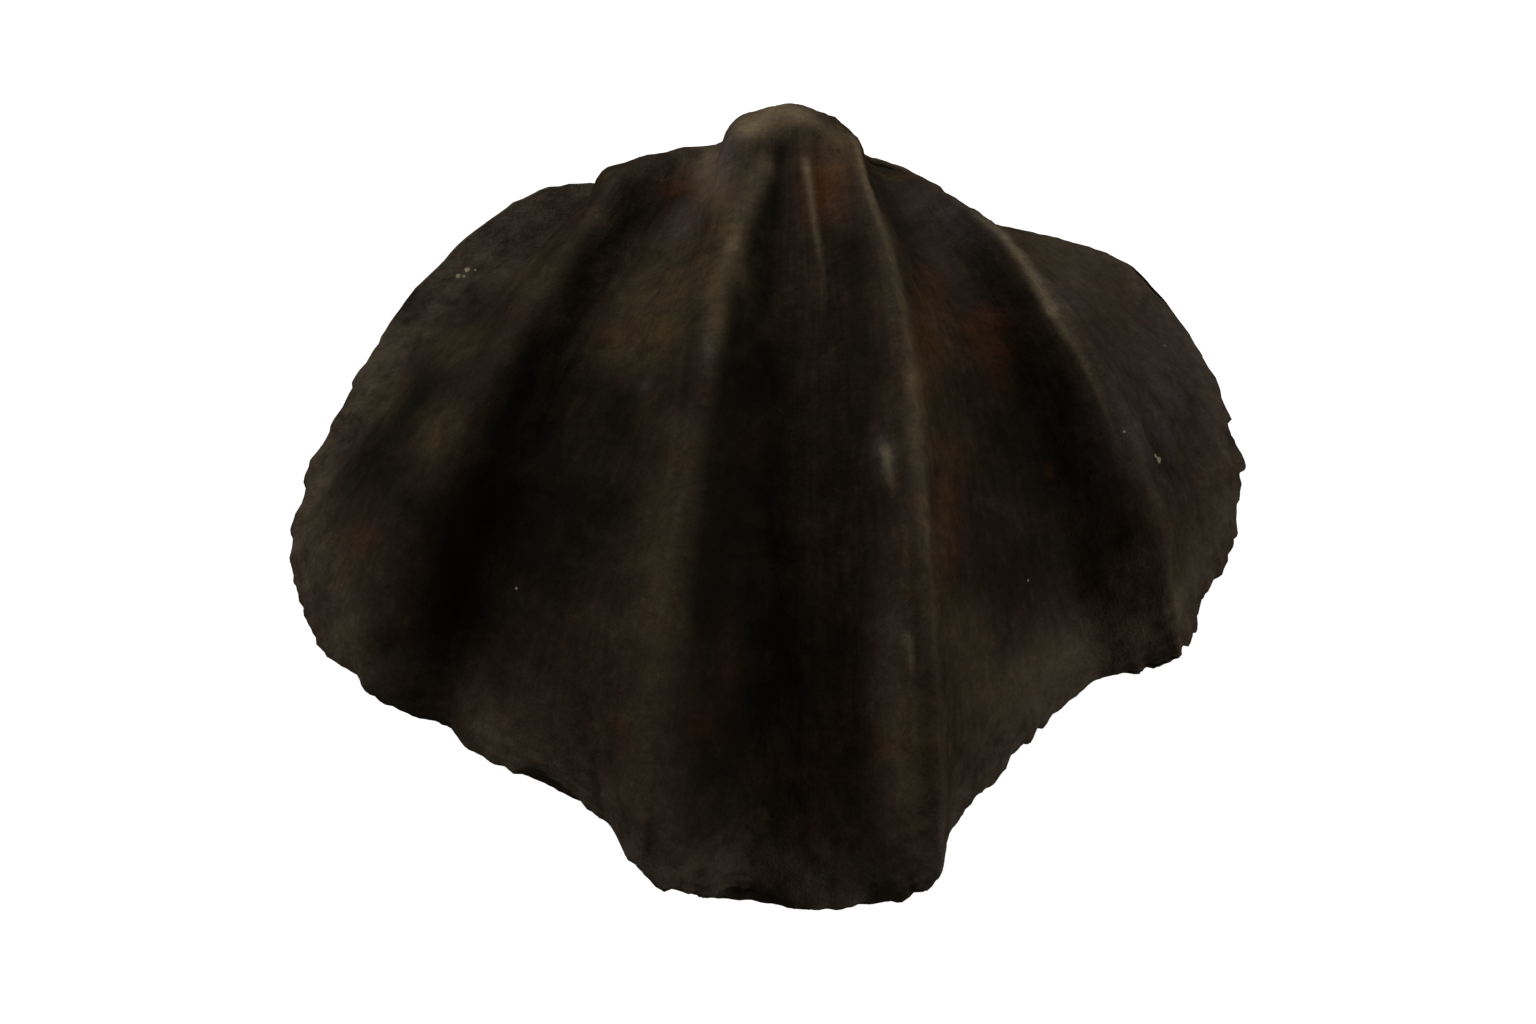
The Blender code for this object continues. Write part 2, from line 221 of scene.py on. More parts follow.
# Pale crests, partly worn and partly painted highlight and glint, with painted light on the beak's
# top, and dark furrows, partly stain and partly painted shade: half width in mm and strength at the
# beak end, the same at the other end, and the line.
PALE_WEAR_AND_GLINTS = [
    (0.40, 0.5, 0.30, 0.0,
     [(-0.1, 13.2), (-0.5, 12.4), (-0.9, 11.3), (-1.3, 10.1), (-1.8, 8.4), (-2.1, 5.9), (-2.4, 3.2)]),
    (0.15, 0.5, 0.20, 0.9, [(7.9, 11.4), (8.9, 10.7), (9.9, 9.3), (10.7, 7.9)]),
    (0.18, 0.9, 0.14, 0.1, [(10.7, 7.9), (11.7, 6.3), (12.6, 4.6), (13.5, 1.9)]),
    (0.16, 0.8, 0.22, 0.3,
     [(3.3, 14.3), (3.6, 13.2), (3.9, 12.4), (4.6, 10.6), (5.1, 8.3), (5.5, 5.2)]),
    (0.28, 0.4, 0.35, 0.0, [(5.5, 5.2), (5.8, 1.2), (6.2, -2.5), (6.5, -6.0)]),
    (0.14, 0.7, 0.14, 0.0, [(1.5, 13.2), (1.7, 12.0), (1.9, 10.5), (2.1, 9.3), (2.1, 7.1)]),
    (0.35, 0.5, 0.30, 0.2, [(-0.9, 14.5), (0.4, 15.4), (1.6, 15.0), (3.0, 14.4)]),
    (0.9, 0.12, 0.9, 0.12, [(-2.9, 3.2), (-3.4, 0.5), (-4.2, -4.5), (-4.9, -10.5)]),
    (1.0, 0.15, 1.2, 0.25, [(7.4, -4.0), (8.4, -6.5), (12.8, -4.6)]),
    (0.5, 0.3, 0.5, 0.1, [(14.2, -4.4), (15.8, -3.0), (16.4, -0.6)]),
    # painted glints on the right inner ridge
    (0.18, 0.9, 0.12, 0.3, [(4.5, 2.6), (4.75, 1.2)]),
    (0.12, 0.8, 0.12, 0.3, [(5.3, -4.4), (5.4, -5.6)]),
    (0.8, 0.1, 0.9, 0.35, [(4.8, -4.5), (5.0, -8.0), (5.1, -11.5)]),
    (0.8, 0.3, 0.8, 0.3, [(13.7, -1.8), (14.4, -4.4)]),
    (0.9, 0.35, 0.9, 0.3, [(-10.6, -8.4), (-8.2, -9.8)]),
    # painted light on the beak's top and on the right wing's top
    (0.55, 0.45, 0.5, 0.4, [(-0.6, 14.8), (1.6, 15.2)]),
    (0.7, 0.5, 0.7, 0.3, [(-2.4, 13.8), (-2.1, 12.4)]),
    (1.1, 0.25, 1.0, 0.05, [(10.6, 10.2), (12.4, 8.4), (14.4, 5.6)]),
]
SHADE = [
    (0.5, 0.7, 0.9, 0.5,
     [(-2.3, 12.7), (-5.3, 10.9), (-6.5, 9.6), (-7.7, 8.0), (-9.0, 6.2), (-10.2, 2.4),
      (-11.3, -0.4), (-12.6, -3.7)]),
    (0.6, 0.5, 0.8, 0.2,
     [(7.6, 10.6), (9.4, 8.6), (11.0, 5.8), (12.0, 2.4), (13.0, -0.4), (13.8, -2.8)]),
    (0.3, 0.9, 1.0, 0.6,
     [(0.6, 14.0), (0.4, 13.0), (0.0, 10.9), (-0.5, 8.6), (-0.9, 5.9), (-1.2, 3.3), (-1.6, -1.6),
      (-1.6, -6.1)]),
    (0.30, 0.8, 0.5, 0.3, [(3.9, 12.9), (4.5, 11.8), (5.5, 10.4)]),
    (0.6, 0.6, 0.9, 0.3, [(3.2, 10.2), (3.6, 6.0), (3.7, 2.0), (3.8, -2.0)]),
    (0.6, 0.5, 0.9, 0.2, [(-11.0, 8.4), (-12.6, 6.6), (-14.0, 4.8)]),
    (0.7, 0.5, 0.6, 0.2, [(-13.2, 0.2), (-14.0, -2.6)]),
]
# Dark ovals, in the same values as the stains above: partly dark stain, partly painted shade on the
# faces turned from the lamps and deep in the valleys.
DARK_STAIN_AND_SHADE = [
    (-7.6, 2.4, 2.6, 5.5, -23, 1.0), (-6.6, 1.5, 2.4, 4.0, -15, 0.7),
    (-0.3, 2.0, 2.4, 9.0, -5, 0.8), (-1.4, -5.5, 1.8, 5.5, -4, 1.0), (1.6, -7.0, 2.6, 4.0, 0, 0.4),
    (3.2, 3.0, 1.2, 6.5, 0, 0.35), (10.2, 2.6, 2.0, 5.2, 20, 0.75), (-11.0, 7.6, 1.4, 1.0, 40, 0.5),
    (-6.8, 9.8, 1.0, 1.4, -40, 0.4), (8.0, 0.5, 1.2, 4.0, 10, 0.3),
    (-12.2, 0.0, 1.2, 2.0, -10, 0.4), (13.8, 6.0, 0.8, 1.6, 30, 0.3),
    (-1.0, 5.0, 1.4, 4.2, -4, 0.6), (-15.8, 3.4, 1.6, 4.4, 10, 0.6),
    (-13.4, 8.2, 1.5, 1.6, 40, 0.4), (-8.0, -1.6, 2.6, 2.6, 0, 0.35),
    (-11.2, -3.8, 1.2, 1.4, 0, 0.4), (9.2, -2.6, 1.4, 1.6, 0, 0.4),
    (-3.6, -12.4, 2.2, 1.6, 0, 0.35), (-2.0, -9.6, 1.2, 2.0, 0, 0.35),
    (-13.0, 5.2, 1.7, 1.4, 30, 0.9), (-13.9, 2.2, 1.8, 2.2, 0, 0.7),
    (-12.9, 8.0, 1.3, 0.9, 35, 0.65), (14.9, 2.2, 1.1, 1.0, -20, 0.35),
    (-4.4, 9.4, 1.0, 1.3, 20, 0.35), (9.4, 4.0, 1.3, 4.2, 10, 0.4), (-10.7, -4.4, 1.5, 1.8, 0, 0.4),
]
# Grains of white calcite: across, up, radius in mm.
GRAINS = [
    (-11.6, 9.0, 0.10), (-11.25, 9.4, 0.12), (-11.4, 9.2, 0.06), (-11.0, 9.35, 0.05),
    (14.9, 2.2, 0.13), (14.7, 2.35, 0.08), (13.4, 3.2, 0.06), (15.0, 6.5, 0.05), (9.8, -2.4, 0.05),
    (-9.4, -2.6, 0.06),
]
# Where the broken margin stands out or falls short: across, up, half width and move in mm.
RIM_MOVES = [
    (17.9, 2.2, 0.35, 0.22), (16.6, 4.8, 2.6, 0.26), (17.2, -0.5, 2.6, 0.24),
    (14.4, 8.8, 1.6, 0.14), (15.8, -5.0, 1.8, 0.42), (12.8, -6.3, 1.4, -0.35),
    (-12.2, -8.0, 0.9, -0.5), (-10.3, -9.6, 0.7, -0.15), (-8.2, -10.4, 1.1, -0.4),
    (-6.3, -12.0, 0.5, -0.35), (-15.9, -6.0, 0.8, -0.3), (-5.4, -12.6, 0.4, 0.2),
    (-4.6, -13.6, 0.6, -0.25), (-1.4, -14.4, 0.6, -0.32), (-0.4, -14.7, 0.8, -0.2),
    (4.2, -15.0, 1.0, -0.4), (6.4, -13.8, 0.6, 0.15), (-17.9, 0.2, 1.4, 0.16),
    (-16.6, -4.8, 1.4, 0.22), (-14.7, -6.4, 1.0, 0.2), (-16.2, 2.6, 0.7, -0.18),
    (9.9, -9.4, 1.0, -0.2), (-18.0, -1.6, 0.3, 0.15), (17.5, -2.0, 0.5, 0.2),
]


def catmull_rom(a, b, c, d, f):
    """Point at share f of the way from b to c on a curve through four points."""
    bow = (2 * a - 5 * b + 4 * c - d) * f ** 2
    return 0.5 * (2 * b + (c - a) * f + bow + (3 * b - a - 3 * c + d) * f ** 3)


def closed_curve(points, t):
    """Catmull-Rom curve through a closed row of points, at t points along it."""
    points = np.asarray(points, float)
    i = np.floor(t).astype(int)
    f = (t - i)[..., None]
    a, b, c, d = (points[(i + k) % len(points)] for k in (-1, 0, 1, 2))
    return catmull_rom(a, b, c, d, f)


def open_curve(rows, x):
    """Catmull-Rom curve through an open row of rows, at x rows along it."""
    rows = np.asarray(rows, float)
    wide = np.vstack([2 * rows[0] - rows[1], rows, 2 * rows[-1] - rows[-2]])
    i = np.clip(np.floor(x).astype(int), 0, len(rows) - 2)
    f = (x - i)[..., None]
    a, b, c, d = (wide[i + k] for k in range(4))
    return catmull_rom(a, b, c, d, f)


def smooth_step(a, b, x):
    """0 at a to 1 at b, level at both ends; a may be the larger one."""
    t = np.clip((x - a) / (b - a), 0.0, 1.0)
    return t * t * (3.0 - 2.0 * t)


def softened(points, passes):
    """Closed row of points, each drawn towards its two neighbours."""
    points = np.asarray(points, float)
    for _ in range(passes):
        points = (np.roll(points, 1, 0) + 2 * points + np.roll(points, -1, 0)) / 4
    return points


def ring_points(cx, cy, row, side):
    """Margin points carried up a valve, one ring a row."""
    columns = (row[:, k][:, None] for k in range(row.shape[1]))
    turn, length, width, shift_x, shift_y, shift_z, _, beak, drop, _, _ = columns
    turn = np.radians(turn)
    at_hinge = smooth_step(-6.0, 0.0, cy)
    share = at_hinge + (1.0 - at_hinge) * beak
    along = length * cy
    x = width * cx + shift_x * (smooth_step(0.0, -8.0, cy) * (1.0 - beak) + beak)
    y = share * shift_y + along * np.cos(turn)
    z = share * shift_z - side * along * np.sin(turn)
    flank = smooth_step(2.5, 12.0, np.abs(cx - BEAK_AXIS)) * smooth_step(-1.0, -9.0, cy)
    z = z - side * drop * flank * np.where(cx > 0, RIGHT_DROP, LEFT_DROP)
    return np.stack(np.broadcast_arrays(x, y, z), -1)


def unit(v):
    return v / np.maximum(np.linalg.norm(v, axis=-1, keepdims=True), 1e-12)


def valve_points(t, x, rows, side):
    """Grid of points of one valve: rows of x, columns of t."""
    row = open_curve(rows, x)
    sharp = closed_curve(MARGIN, t)[None]
    soft = closed_curve(softened(MARGIN, SOFT_PASSES), t)[None]
    rib, corner, beak_rib = (row[:, k][:, None] for k in (6, 9, 10))
    base = ring_points(soft[..., 0] + 0 * corner, soft[..., 1] + 0 * corner, row, side)
    across = np.roll(base, -1, 1) - np.roll(base, 1, 1)
    along = np.gradient(base, axis=0)
    upright = smooth_step(4.0, 0.0, x)[:, None, None]
    way = unit(unit(np.cross(along, across)) * (1 - upright) + np.array([0, 0, 1.0]) * upright)
    cx = corner * sharp[..., 0] + (1 - corner) * soft[..., 0]
    cy = corner * sharp[..., 1] + (1 - corner) * soft[..., 1]
    points = ring_points(cx, cy, row, side)
    rise = rib * sharp[..., 2] + beak_rib * sharp[..., 3]
    rise = rise * (1.0 - smooth_step(-8.0, -4.5, soft[..., 1]) * smooth_step(5.0, 8.0, x)[:, None])
    points = points + way * rise[..., None]
    return points


def evened(points, pull, passes):
    """Grid with each point drawn towards the middle of its four neighbours; the end rings stay."""
    points = points.copy()
    for _ in range(passes):
        before, after = np.roll(points, 1, 1), np.roll(points, -1, 1)
        middle = (points[:-2] + points[2:] + before[1:-1] + after[1:-1]) / 4
        points[1:-1] += pull[1:-1] * (middle - points[1:-1])
    return points


def relaxed(side, rows):
    """How far the crowded points behind the beak move when evened out, on the coarse grid."""
    half_round = len(MARGIN) / 2
    t = np.arange(len(MARGIN) * COARSE_COLUMNS) / COARSE_COLUMNS
    ring = np.linspace(0.0, 1.0, COARSE_RINGS)
    raw = valve_points(t, ring * (len(rows) - 1), rows, side)
    behind = (t + half_round) % len(MARGIN) - half_round
    pull = (smooth_step(*EVEN_LEFT, behind) * smooth_step(*EVEN_RIGHT, behind))[None, :, None]
    pull = pull * smooth_step(0.15, 0.5, ring)[:, None, None] * EVEN_PULL
    points = evened(raw, pull, EVEN_PASSES)
    if side > 0:
        pull = smooth_step(*POCKET_LEFT, behind) * smooth_step(*POCKET_RIGHT, behind)
        pull = pull[None, :, None]
        height = smooth_step(-0.04, 0.06, ring) * smooth_step(0.8, 0.5, ring)
        points = evened(points, pull * height[:, None, None] * POCKET_PULL, POCKET_PASSES)
    return points - raw


def even_points(t, x, rows, side):
    """Grid of points of one valve with the hinge side evened out and the opening under the beak."""
    points = valve_points(t, x, rows, side)
    moved = relaxed(side, rows).reshape(COARSE_RINGS, -1)
    moved = open_curve(moved, x / (len(rows) - 1) * (COARSE_RINGS - 1)).reshape(len(x), -1, 3)
    moved = np.swapaxes(moved, 0, 1).reshape(moved.shape[1], -1)
    moved = closed_curve(moved, t * COARSE_COLUMNS).reshape(len(t), len(x), 3)
    points = points + np.swapaxes(moved, 0, 1)
    if side > 0:
        cx, cy = closed_curve(MARGIN, t)[:, :2].T
        span = np.maximum(0.0, 1.0 - np.abs(cx) / FORAMEN_HALF) * smooth_step(-3.0, -1.0, cy)
        height = smooth_step(0.0, 1.5, x) * smooth_step(12.0, 10.0, x)
        points[..., 1] -= FORAMEN_DEPTH * span[None] * height[:, None]
    return points


def crowded(rings):
    """0 at the margin to 1 at the beak, closer together near the margin."""
    u = np.linspace(0.0, 1.0, rings + 1)
    return 0.35 * u + 0.65 * u ** 1.5


def shell_grid(width):
    """Seated shell as a grid in mm, ring 0 the upper beak and the last ring the lower one.

    With it comes the place of each column along the margin.
    """
    t = np.arange(len(MARGIN) * COLUMNS_PER_POINT) / COLUMNS_PER_POINT
    upper_x = crowded(UPPER_RINGS) * (len(UPPER_VALVE) - 1)
    lower_x = crowded(LOWER_RINGS) * (len(LOWER_VALVE) - 1)
    upper = even_points(t, upper_x, UPPER_VALVE, 1)
    lower = even_points(t, lower_x, LOWER_VALVE, -1)
    grid = np.concatenate([upper[::-1], lower[1:]]) * (SEATED_WIDTH / TABLE_WIDTH)
    grid = (grid - np.array(SEAT)) * (width * 1000.0 / SEATED_WIDTH)
    grid[..., 2] = np.maximum(grid[..., 2], 0.0)
    return grid, t


def grid_normals(grid):
    """Way out of the shell at each point of the grid."""
    along = np.gradient(grid, axis=0)
    across = np.roll(grid, -1, 1) - np.roll(grid, 1, 1)
    normal = unit(np.cross(across, along))
    middle = grid.reshape(-1, 3).mean(0)
    if np.mean(np.sum(normal * (grid - middle), -1)) < 0:
        normal = -normal
    normal[0] = unit(normal[1].mean(0))
    normal[-1] = unit(normal[-2].mean(0))
    return normal


def as_seen(grid, view):
    """Across and up in mm of each point, as the camera sees it from above the front edge."""
    lift = math.radians(view.camera_lift)
    far = view.camera_distance * 1000.0
    z = grid[..., 2] - EYE_LEVEL
    towards = -grid[..., 1] * math.cos(lift) + z * math.sin(lift)
    near = far / (far - towards)
    return grid[..., 0] * near, (grid[..., 1] * math.sin(lift) + z * math.cos(lift)) * near


def patches(a, b, spots):
    """Soft-edged ovals added up, 0 to 1."""
    total = np.zeros_like(a)
    for across, up, half_a, half_b, turn, strength in spots:
        c, s = math.cos(math.radians(turn)), math.sin(math.radians(turn))
        u = ((a - across) * c + (b - up) * s) / half_a
        v = ((b - up) * c - (a - across) * s) / half_b
        total = total + strength * np.exp(-(u * u + v * v))
    return np.clip(total, 0, 1)


def clouds(grid, size, octaves, seed):
    """Fractal noise over the grid, features about size mm wide, roughly -1 to 1."""
    shift = Vector((seed * 7.3, seed * 3.1, seed * 5.7))
    flat = grid.reshape(-1, 3) / size
    out = [noise.fractal(Vector(p) + shift, 1.0, 2.0, octaves) for p in flat]
    return np.array(out).reshape(grid.shape[:-1])


# ---------------------------------------------------------------- settings


class FossilShellSettings(bpy.types.PropertyGroup):
    """Size and relief of the shell"""

    width: bpy.props.FloatProperty(
        name="Width", description="Size across the two wings", default=0.036,
        min=0.015, max=0.06, subtype="DISTANCE", unit="LENGTH")
    growth_step: bpy.props.FloatProperty(
        name="Growth Line Height",
        description="How far each growth line stands proud near the edge", default=0.00005,
        min=0.0, max=0.0005, precision=5, subtype="DISTANCE", unit="LENGTH")
    wear: bpy.props.FloatProperty(
        name="Worn Unevenness", description="Height of the broad dents and swellings",
        default=0.00014, min=0.0, max=0.001, precision=5, subtype="DISTANCE", unit="LENGTH")


class FossilStageSettings(bpy.types.PropertyGroup):
    """Camera, room light, lamps and table"""

    camera_lift: bpy.props.FloatProperty(
        name="Camera Height", description="Angle of the camera above the table, in degrees",
        default=60.0, min=0.0, max=90.0)
    camera_distance: bpy.props.FloatProperty(
        name="Camera Distance", description="From the lens to the middle of the shell",
        default=0.5, min=0.1, max=2.0, subtype="DISTANCE", unit="LENGTH")
    frame_width: bpy.props.FloatProperty(
        name="Frame Width", description="Width of the view at the shell",
        default=0.05785, min=0.03, max=0.2, subtype="DISTANCE", unit="LENGTH")
    room_light: bpy.props.FloatProperty(
        name="Room Light", description="Strength of the even light from all round",
        default=0.08, min=0.0, max=5.0)
    key_power: bpy.props.FloatProperty(
        name="Left Lamp", description="Power of the soft lamp on the left; the others follow it",
        default=0.62, min=0.0, max=50.0, subtype="POWER", unit="POWER")
    table_glow: bpy.props.FloatProperty(
        name="Table Glow", description="Light given off by the opal table top",
        default=0.95, min=0.0, max=5.0)


def linear(code):
    """sRGB hex code to a linear colour with alpha."""
    parts = [int(code[i:i + 2], 16) / 255 for i in (1, 3, 5)]
    parts = [c / 12.92 if c <= 0.04045 else ((c + 0.055) / 1.055) ** 2.4 for c in parts]
    return (*parts, 1.0)


def add_node(tree, kind, values=None, links=None, **settings):
    """Add a node, set its properties and its unlinked inputs, and link the others."""
    node = tree.nodes.new(kind)
    for name, value in settings.items():
        setattr(node, name, value)
    for name, value in (values or {}).items():
        node.inputs[name].default_value = value
    for name, output in (links or {}).items():
        tree.links.new(output, node.inputs[name])
    return node


def add_ramp(tree, source, stops, mode="LINEAR"):
    """Color ramp over one value; stops are (place, colour code or grey)."""
    ramp = add_node(tree, "ShaderNodeValToRGB", links={0: source})
    ramp.color_ramp.interpolation = mode
    marks = ramp.color_ramp.elements
    while len(marks) < len(stops):
        marks.new(0.5)
    for mark, (place, tone) in zip(marks, stops):
        mark.position = place
        mark.color = linear(tone) if isinstance(tone, str) else (tone, tone, tone, 1.0)
    return ramp.outputs[0]


# ---------------------------------------------------------------- the shell


def near_line(a, b, line):
    """Distance in mm from each seen place to a line of points, and how far along it, 0 to 1."""
    best = np.full(a.shape, 1e9)
    along = np.zeros(a.shape)
    for k in range(len(line) - 1):
        (x0, y0), (x1, y1) = line[k], line[k + 1]
        dx, dy = x1 - x0, y1 - y0
        u = np.clip(((a - x0) * dx + (b - y0) * dy) / (dx * dx + dy * dy), 0, 1)
        d = np.hypot(a - x0 - u * dx, b - y0 - u * dy)
        closer = d < best
        best = np.where(closer, d, best)
        along = np.where(closer, (k + u) / (len(line) - 1), along)
    return best, along


def arc_from_margin(grid):
    """Distance in mm over the shell from the margin, down both valves."""
    steps = np.linalg.norm(np.diff(grid, axis=0), axis=-1)
    upper = np.cumsum(steps[:UPPER_RINGS][::-1], axis=0)[::-1]
    lower = np.cumsum(steps[UPPER_RINGS:], axis=0)
    margin = np.zeros((1, grid.shape[1]))
    return np.concatenate([upper, margin, lower])


def growth_lines(arc, grid, strength):
    """Overlapping lamellae, each with its edge towards the margin, crowded near it."""
    wander = clouds(grid, 4.0, 2, 3) * 0.5 + clouds(grid, 1.3, 2, 4) * 0.16
    count = 7.5 * np.log1p(arc / 6.0) / np.log(2.0) + wander
    part = count - np.floor(count)
    lamella = (1.0 - part) ** 1.6 * smooth_step(0.0, 0.14, part) - 0.38
    patchy = smooth_step(-0.15, 0.35, clouds(grid, 3.5, 2, 5)) + 0.12
    return strength * lamella * patchy * (0.35 + 1.1 * np.exp(-arc / 2.5))


# Low rib in the trough, groove beside the beak, scratch and stepped growth lines, as points
# across and up in mm.
MEDIAN_RIB = [
    (1.3, 14.4), (1.5, 13.4), (1.7, 10.5), (2.0, 9.3), (2.1, 7.1), (2.1, 3.6), (1.8, 0.5),
    (2.1, -4.7),
]
BEAK_GROOVE = [(4.0, 12.7), (4.5, 11.8), (5.5, 10.4)]
SCRATCH = [(-9.2, 4.8), (-9.4, 4.0), (-9.6, 3.1)]
GROWTH_STEPS = [
    [(-9.9, -1.0), (-7.4, -0.8), (-5.9, -1.8)],
    [(-4.4, -10.6), (-0.3, -12.1), (3.1, -12.5)],
]
# Lumps and pits as patches: across, up, half width, half height, turn, height in mm.
LUMPS = [
    (4.6, 1.6, 0.4, 1.3, 8, 0.12), (5.5, -5.0, 0.18, 0.3, 0, 0.06),
    (-9.5, -2.6, 0.14, 0.16, 0, 0.10), (-9.5, -9.7, 0.5, 0.35, 20, 0.22),
    (-11.3, 8.7, 0.16, 0.14, 0, 0.10), (-11.0, 9.3, 0.2, 0.2, 30, 0.12),
    (7.2, -10.9, 0.25, 0.4, -30, 0.12), (0.7, 15.5, 0.7, 0.8, 0, 0.24),
    (-6.0, 12.7, 0.9, 0.6, 20, 0.55), (-1.2, 14.1, 0.6, 0.9, -15, 0.18),
    (2.9, 13.9, 0.6, 0.9, 20, 0.20),
]
# The left shoulder, smoother than the rest: the same five values and its strength.
SHOULDER = (-9.6, 10.9, 2.6, 1.2, 35, 1.0)
PITS = [
    (2.5, -10.1, 0.25, 0.3, 0, 0.09), (1.8, -7.3, 0.2, 0.22, 0, 0.11),
    (-9.0, -2.8, 0.2, 0.35, 15, 0.10), (-8.6, -3.2, 0.15, 0.2, 0, 0.06),
    (7.6, -11.2, 0.3, 0.2, 20, 0.10), (3.0, 15.0, 0.9, 0.6, -25, 0.28),
    (-3.7, 14.2, 1.2, 0.6, 15, 0.25), (-2.4, 14.1, 0.5, 0.6, 0, 0.50),
    (4.1, 13.5, 0.5, 0.7, 20, 0.25), (5.3, 13.3, 0.8, 0.5, -20, 0.35),
    (0.5, 13.6, 0.45, 0.9, -8, 0.16),
]


def rounded(grid, arc, seen):
    """Grid with its crests and furrows worn round across the ribs; the margin stays sharp."""
    spacing = np.linalg.norm(np.roll(grid, -1, 1) - grid, axis=-1).mean(1)[:, None]
    a, b = seen
    radius = WEAR_RADIUS - 0.3 * smooth_step(0.0, 5.0, a) - 0.2 * smooth_step(6.0, 10.0, a)
    radius = radius * (1.0 - 0.5 * smooth_step(6.0, 12.0, b))
    pull = np.minimum(0.9, (radius / np.maximum(spacing, 0.01)) ** 2 / WEAR_PASSES)
    pull = pull * smooth_step(0.3, 1.6, arc)
    for _ in range(WEAR_PASSES):
        middle = (np.roll(grid, 1, 1) + np.roll(grid, -1, 1)) / 2
        grid = grid + pull[..., None] * (middle - grid)
    return grid


def along_line(a, b, width_0, strength_0, width_1, strength_1, line):
    """Soft band about a line, its width and strength changing from one end to the other."""
    distance, along = near_line(a, b, line)
    width = width_0 + (width_1 - width_0) * along
    return (strength_0 + (strength_1 - strength_0) * along) * np.exp(-(distance / width) ** 2)


def broken_margin(grid, seen):
    """How far in mm each column's end stands out from the margin's even line."""
    rim = grid[UPPER_RINGS:UPPER_RINGS + 1]
    a, b = (part[UPPER_RINGS] for part in seen)
    move = sum(step * np.exp(-((a - x) ** 2 + (b - y) ** 2) / half ** 2)
               for x, y, half, step in RIM_MOVES)
    broad, small = clouds(rim, 2.2, 3, 11)[0], clouds(rim, 0.7, 3, 12)[0]
    front = smooth_step(-9.0, -3.0, -rim[0, :, 1])
    bites = 0.20 * smooth_step(0.0, 0.12, broad) + 0.16 * small
    return move + 0.04 - bites * (0.35 + 0.65 * front)


def outward(grid):
    """Way from inside the shell out through its margin, for each column."""
    near, far = UPPER_RINGS - MARGIN_BAND, UPPER_RINGS + MARGIN_BAND
    way = grid[UPPER_RINGS] - (grid[near] + grid[far]) / 2
    for _ in range(MARGIN_PASSES):
        way = (np.roll(way, 1, 0) + way + np.roll(way, -1, 0)) / 3
    return unit(way)


def margin_fullness(grid, arc):
    """0 in the columns where the valves close to a thin edge, 1 where the margin is a full wall."""
    near, far = UPPER_RINGS - MARGIN_BAND, UPPER_RINGS + MARGIN_BAND
    gap = np.linalg.norm(grid[near] - grid[far], axis=-1) / (arc[near] + arc[far])
    for _ in range(MARGIN_PASSES):
        gap = (np.roll(gap, 1) + gap + np.roll(gap, -1)) / 3
    return smooth_step(0.45, 0.80, gap)


def relief(grid, normal, arc, upper, seen, settings):
    """Height in mm of everything finer than the ribs."""
    a, b = seen
    full = margin_fullness(grid, arc)[None]
    shown = upper * smooth_step(-0.1, 0.35, normal[..., 2])
    height = growth_lines(arc, grid, settings.growth_step * 1000.0)
    height += settings.wear * 1000.0 * (clouds(grid, 5.5, 3, 1) + 0.6 * clouds(grid, 1.5, 4, 2))
    height += GRIT * clouds(grid, 0.6, 3, 8)
    height -= BEVEL_DEPTH * np.exp(-(arc / BEVEL_REACH) ** 2)
    height -= (1.0 - upper) * full * INSET_DEPTH * np.exp(-((arc - INSET_PLACE) / INSET_REACH) ** 2)
    height += shown * along_line(a, b, 0.5, 0.14, 0.6, 0.06, MEDIAN_RIB)
    height -= shown * along_line(a, b, 0.3, 0.12, 0.3, 0.10, BEAK_GROOVE)
    height -= shown * along_line(a, b, 0.12, 0.05, 0.12, 0.05, SCRATCH)
    for line in GROWTH_STEPS:
        height -= shown * along_line(a, b, 0.16, 0.05, 0.16, 0.05, line)
    height += shown * sum(tall * patches(a, b, [(*spot, 1.0)]) for *spot, tall in LUMPS)
    height -= shown * sum(deep * patches(a, b, [(*spot, 1.0)]) for *spot, deep in PITS)
    height *= 1.0 - 0.75 * shown * patches(a, b, [SHOULDER])
    return height * (full + (1.0 - full) * smooth_step(0.0, 1.4, arc))


def bend_across(grid, normal):
    """How sharply the shell bends across its ribs, in 1/mm: above 0 on a crest."""
    before, after = np.roll(grid, 3, 1) - grid, np.roll(grid, -3, 1) - grid
    span = (np.linalg.norm(before, axis=-1) + np.linalg.norm(after, axis=-1)) / 2
    bend = -np.sum((before + after) * normal, -1) / np.maximum(span ** 2, 1e-3)
    for _ in range(3):
        bend = (np.roll(bend, 1, 1) + 2 * bend + np.roll(bend, -1, 1)) / 4
    return bend


def put_attribute(mesh, name, values):
    """Store one value a vertex, for the material to read."""
    layer = mesh.attributes.new(name, "FLOAT", "POINT")
    layer.data.foreach_set("value", np.ascontiguousarray(values, dtype=np.float32))


